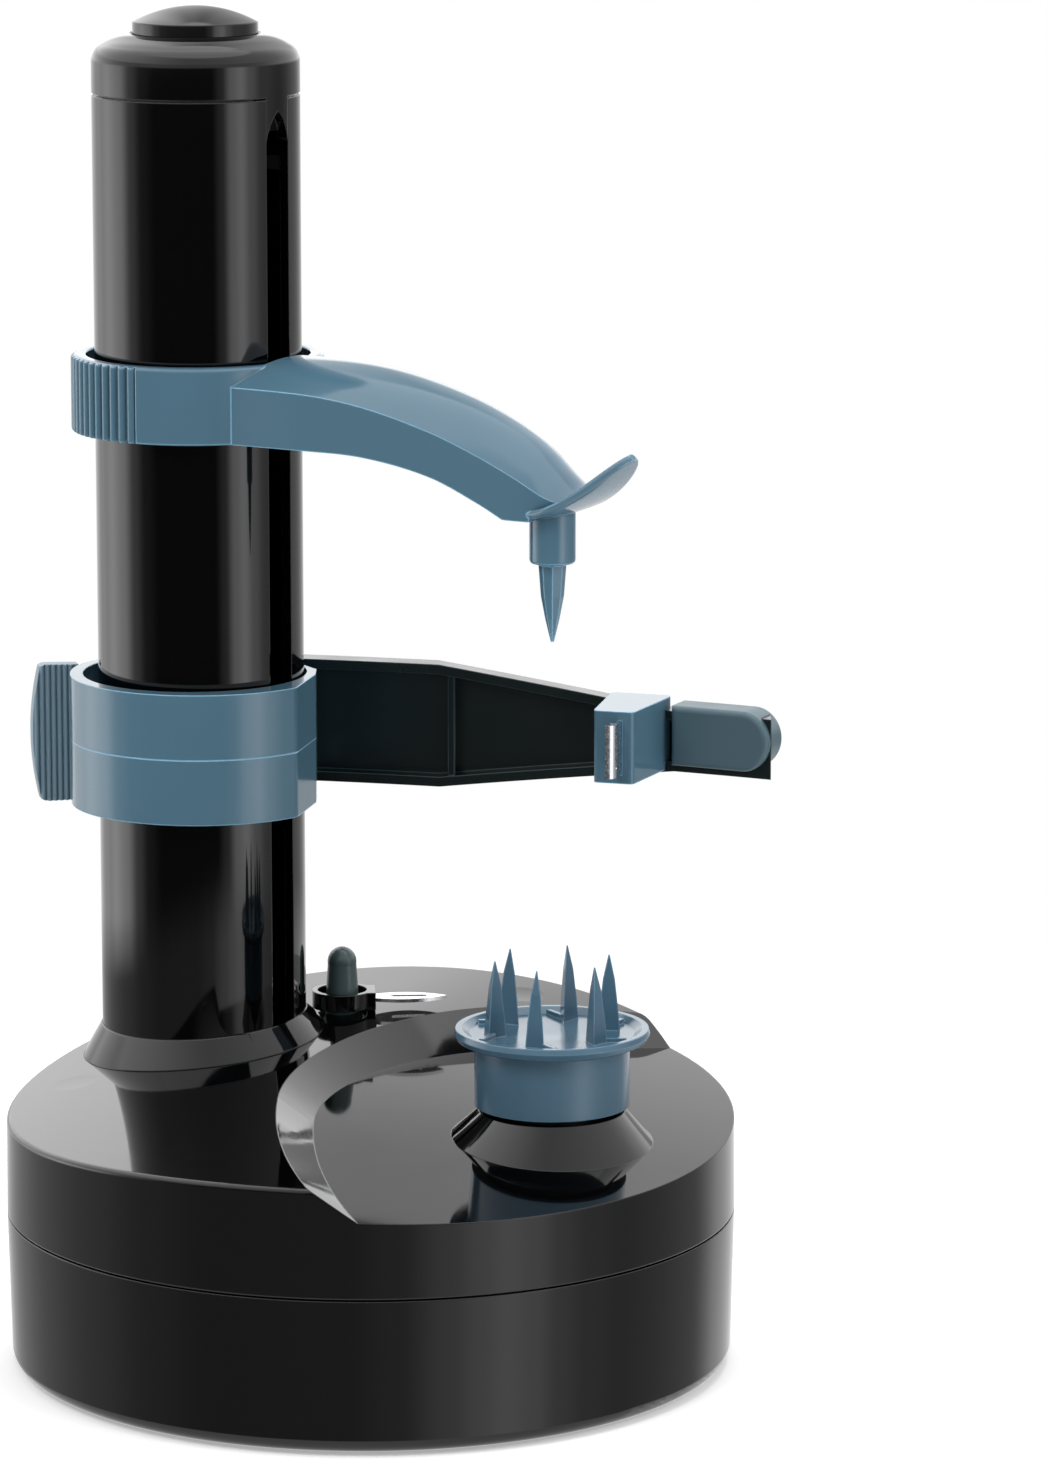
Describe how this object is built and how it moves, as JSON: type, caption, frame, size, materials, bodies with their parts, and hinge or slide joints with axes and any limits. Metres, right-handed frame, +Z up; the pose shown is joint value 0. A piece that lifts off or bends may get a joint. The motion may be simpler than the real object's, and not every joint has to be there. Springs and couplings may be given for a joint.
{
  "type": "electric potato peeler",
  "caption": "Battery-driven rotary peeler: round base with a drip dish and spiked food holder, a tower with a sliding top spike arm, and a screw-driven sprung peeling arm.",
  "frame": {"origin": "centre of the bounding box at the table, under the round base", "axes": "+Z up along the tower, +X to the side of the food holder, -Y to the front"},
  "size_m": [0.1688, 0.158, 0.291],
  "materials": {
    "black_gloss": "high-gloss moulded ABS",
    "slate_gloss": "semi-gloss slate blue ABS",
    "slate_tab": "semi-gloss dark slate ABS",
    "arm_green": "semi-gloss very dark green ABS",
    "tip_slate": "semi-gloss grey-green ABS",
    "post_green": "semi-gloss dark green ABS",
    "holder_blue": "semi-gloss slate blue ABS",
    "black_matte": "fine matt moulding",
    "gear_nylon": "natural acetal",
    "grey_nylon": "grey acetal",
    "steel": "bright steel",
    "blade_steel": "ground stainless steel",
    "zinc": "zinc plated",
    "brass": "turned brass",
    "rubber": "soft matt rubber",
    "board_green": "solder-masked laminate",
    "cell_jacket": "printed film jacket",
    "wire_red": "PVC insulation",
    "wire_grey": "PVC insulation"
  },
  "bodies": {
    "base": {"base_tub": "black_gloss", "base_cover": "black_gloss", "battery_cell_1": "cell_jacket", "battery_cell_2": "cell_jacket", "battery_cell_3": "cell_jacket", "battery_cell_4": "cell_jacket", "battery_contacts": "zinc", "rubber_feet": "rubber", "cover_screws": "zinc", "gear_plate": "grey_nylon", "plate_screws": "zinc", "motor_can": "steel", "motor_end_cap": "black_matte", "gear_pins": "steel", "spindle_bush": "brass", "screw_bush": "brass", "cone_bush": "brass", "tower_tube": "black_gloss", "tower_foot": "black_gloss", "bearing_plate": "black_matte", "tower_cap": "black_gloss", "switch_board": "board_green", "push_switch": "black_matte", "main_board": "board_green", "switch_cable": "wire_grey", "motor_leads": "wire_red", "battery_leads": "wire_red", "button_spring": "steel", "storage_post": "post_green"},
    "food_spindle": {"food_holder": "holder_blue", "spindle": "steel", "spindle_gear": "gear_nylon"},
    "screw": {"lead_screw": "grey_nylon", "screw_gear": "gear_nylon"},
    "idler": {"idler_gear": "gear_nylon"},
    "reduction_b": {"reduction_gear_b": "gear_nylon"},
    "reduction_a": {"reduction_gear_a": "gear_nylon"},
    "rotor": {"motor_shaft": "steel", "motor_pinion": "brass"},
    "carriage": {"carriage_lower": "slate_gloss", "carriage_upper": "slate_gloss", "carriage_screws": "zinc", "pivot_pin": "steel", "nut_spring": "steel"},
    "nut": {"half_nut": "gear_nylon"},
    "swing_arm": {"peeling_arm": "arm_green", "torsion_spring": "steel", "release_tab": "slate_tab", "arm_tip": "tip_slate", "blade_head": "slate_gloss", "blade_screw": "zinc", "peeling_blade": "blade_steel"},
    "top_arm": {"top_holder": "slate_gloss", "friction_pads": "rubber"},
    "top_spike": {"center_spike": "slate_gloss"},
    "button": {"start_button": "black_gloss", "switch_plunger": "grey_nylon"},
    "thumb_knife": {"thumb_knife_ring": "black_gloss", "thumb_knife_blade": "blade_steel"},
    "door": {"battery_door": "black_matte"}
  },
  "joints": [
    {"name": "holder_spin", "type": "hinge", "parent": "base", "child": "food_spindle", "pos_m": [0.03385, -0.021, 0.06], "axis": [0, 0, 1], "range_deg": [-4320, 3420]},
    {"name": "screw_spin", "type": "hinge", "parent": "base", "child": "screw", "pos_m": [-0.04305, 0.035, 0.06], "axis": [0, 0, 1], "range_deg": [-4325.32, 3424.42]},
    {"name": "idler_spin", "type": "hinge", "parent": "base", "child": "idler", "pos_m": [-0.0008, 0.01221, 0.042], "axis": [0, 0, 1], "range_deg": [-2446.3, 3089.8]},
    {"name": "reduction_b_spin", "type": "hinge", "parent": "base", "child": "reduction_b", "pos_m": [-0.02607, -0.01054, 0.04], "axis": [0, 0, 1], "range_deg": [-14415.4, 11412.4]},
    {"name": "reduction_a_spin", "type": "hinge", "parent": "base", "child": "reduction_a", "pos_m": [-0.05007, -0.01054, 0.036], "axis": [0, 0, 1], "range_deg": [-45646.6, 57658.6]},
    {"name": "motor_spin", "type": "hinge", "parent": "base", "child": "rotor", "pos_m": [-0.04407, -0.03295, 0.03], "axis": [0, 0, 1], "range_deg": [-276757.48, 219099.88]},
    {"name": "carriage_slide", "type": "slide", "parent": "base", "child": "carriage", "axis": [0, 0, 1], "range_m": [-0.03145, 0.0397]},
    {"name": "half_nut_release", "type": "slide", "parent": "carriage", "child": "nut", "axis": [0.8084, -0.5887, 0], "range_m": [0, 0.0011], "stiffness_N_per_m": 300, "springref_m": -0.002, "deforming": ["nut_spring"]},
    {"name": "peeling_arm_swing", "type": "hinge", "parent": "carriage", "child": "swing_arm", "pos_m": [-0.04305, 0.0725, 0.13], "axis": [0, 0, 1], "range_deg": [-10, 12], "stiffness_Nm_per_rad": 0.12, "springref_deg": -5.73},
    {"name": "top_arm_slide", "type": "slide", "parent": "base", "child": "top_arm", "axis": [0, 0, 1], "range_m": [-0.01, 0.05]},
    {"name": "spike_spin", "type": "hinge", "parent": "top_arm", "child": "top_spike", "pos_m": [0.03385, -0.021, 0.185], "axis": [0, 0, 1], "continuous": true},
    {"name": "start_button_press", "type": "slide", "parent": "base", "child": "button", "axis": [0, 0, -1], "range_m": [0, 0.003], "stiffness_N_per_m": 900, "springref_m": -0.0008, "deforming": ["button_spring"]},
    {"name": "thumb_knife_lift", "type": "slide", "parent": "base", "child": "thumb_knife", "axis": [0, 0, 1], "range_m": [0, 0.014]},
    {"name": "battery_door_drop", "type": "slide", "parent": "base", "child": "door", "axis": [0, 0, -1], "range_m": [0, 0.02]}
  ],
  "couplings": [
    {"joint": "screw_spin", "follows": "holder_spin", "ratio": 1},
    {"joint": "idler_spin", "follows": "holder_spin", "ratio": -0.71429},
    {"joint": "reduction_b_spin", "follows": "holder_spin", "ratio": 3.3333},
    {"joint": "reduction_a_spin", "follows": "holder_spin", "ratio": -13.333},
    {"joint": "motor_spin", "follows": "holder_spin", "ratio": 64},
    {"joint": "carriage_slide", "follows": "holder_spin", "m_per_rad": -0.00052521}
  ]
}
